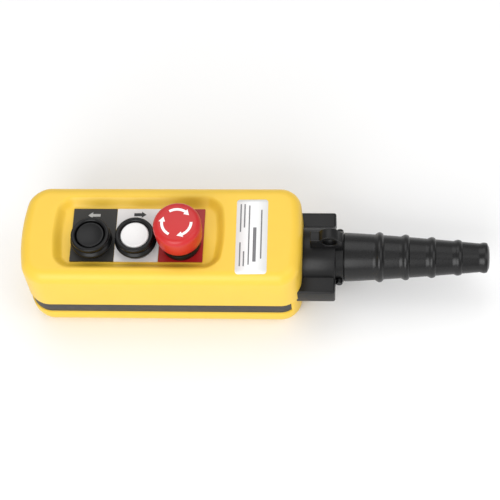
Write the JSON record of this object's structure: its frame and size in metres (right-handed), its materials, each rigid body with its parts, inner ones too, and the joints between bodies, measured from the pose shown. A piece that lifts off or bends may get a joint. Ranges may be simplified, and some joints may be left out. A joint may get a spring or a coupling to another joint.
{
  "type": "pendant control station",
  "caption": "Hand-held pendant control station with two push buttons, a twist-release emergency stop, a hanging lug and a ribbed cable boot.",
  "frame": {"origin": "under the middle of the whole object, in the plane of the housing's back", "axes": "+X from the hand end towards the cable, +Z out of the front"},
  "size_m": [0.3164, 0.073, 0.093],
  "materials": {
    "yellow_plastic": "moulded, fine satin",
    "black_plastic": "moulded, satin",
    "boot_rubber": "moulded, slight sheen",
    "seal_rubber": "matt",
    "white_plastic": "moulded, satin",
    "red_plastic": "moulded, satin",
    "natural_plastic": "moulded",
    "red_block": "moulded",
    "black_plate": "printed sheet",
    "white_plate": "printed sheet",
    "red_plate": "printed sheet",
    "label_film": "self-adhesive film",
    "steel": "zinc plated",
    "brass": "stamped"
  },
  "bodies": {
    "housing": {"boot_screw_1": "black_plastic", "boot_screw_2": "black_plastic", "cable_boot": "boot_rubber", "cord_clamp": "black_plastic", "cord_clamp_screw_1": "steel", "cord_clamp_screw_2": "steel", "cover_screw_1": "steel", "cover_screw_2": "steel", "cover_screw_3": "steel", "cover_screw_4": "steel", "front_cover": "yellow_plastic", "left_bezel": "black_plastic", "left_contact_block": "natural_plastic", "left_legend_plate": "black_plate", "left_nut": "black_plastic", "left_spring": "steel", "left_terminal_1": "brass", "left_terminal_2": "brass", "left_terminal_screw_1": "steel", "left_terminal_screw_2": "steel", "neck_housing": "black_plastic", "rating_label": "label_film", "rear_cover": "yellow_plastic", "right_bezel": "black_plastic", "right_contact_block": "natural_plastic", "right_legend_plate": "white_plate", "right_nut": "black_plastic", "right_spring": "steel", "right_terminal_1": "brass", "right_terminal_2": "brass", "right_terminal_screw_1": "steel", "right_terminal_screw_2": "steel", "seam_seal": "seal_rubber", "stop_collar": "black_plastic", "stop_contact_block": "red_block", "stop_latch_ring": "natural_plastic", "stop_legend_plate": "red_plate", "stop_nut": "black_plastic", "stop_spring": "steel", "stop_terminal_1": "brass", "stop_terminal_2": "brass", "stop_terminal_screw_1": "steel", "stop_terminal_screw_2": "steel"},
    "left_button": {"left_cap": "black_plastic", "left_plunger": "natural_plastic", "left_contact_carrier": "natural_plastic", "left_contact_bridge": "brass"},
    "right_button": {"right_cap": "white_plastic", "right_plunger": "natural_plastic", "right_contact_carrier": "natural_plastic", "right_contact_bridge": "brass"},
    "stop_plunger": {"stop_shaft": "natural_plastic", "stop_contact_carrier": "natural_plastic", "stop_contact_bridge": "brass"},
    "stop_mushroom": {"stop_head": "red_plastic"}
  },
  "joints": [
    {"name": "left_button_press", "type": "slide", "parent": "housing", "child": "left_button", "axis": [0, 0, -1], "range_m": [0, 0.0045], "stiffness_N_per_m": 500, "springref_m": -0.004, "deforming": ["left_spring"]},
    {"name": "right_button_press", "type": "slide", "parent": "housing", "child": "right_button", "axis": [0, 0, -1], "range_m": [0, 0.0045], "stiffness_N_per_m": 500, "springref_m": -0.004, "deforming": ["right_spring"]},
    {"name": "stop_press", "type": "slide", "parent": "housing", "child": "stop_plunger", "axis": [0, 0, -1], "range_m": [0, 0.005], "deforming": ["stop_spring"]},
    {"name": "stop_twist", "type": "hinge", "parent": "stop_plunger", "child": "stop_mushroom", "pos_m": [-0.04815, -0.0062, 0.085], "axis": [0, 0, -1], "range_deg": [0, 45], "stiffness_Nm_per_rad": 0.05, "springref_deg": -11.46}
  ]
}
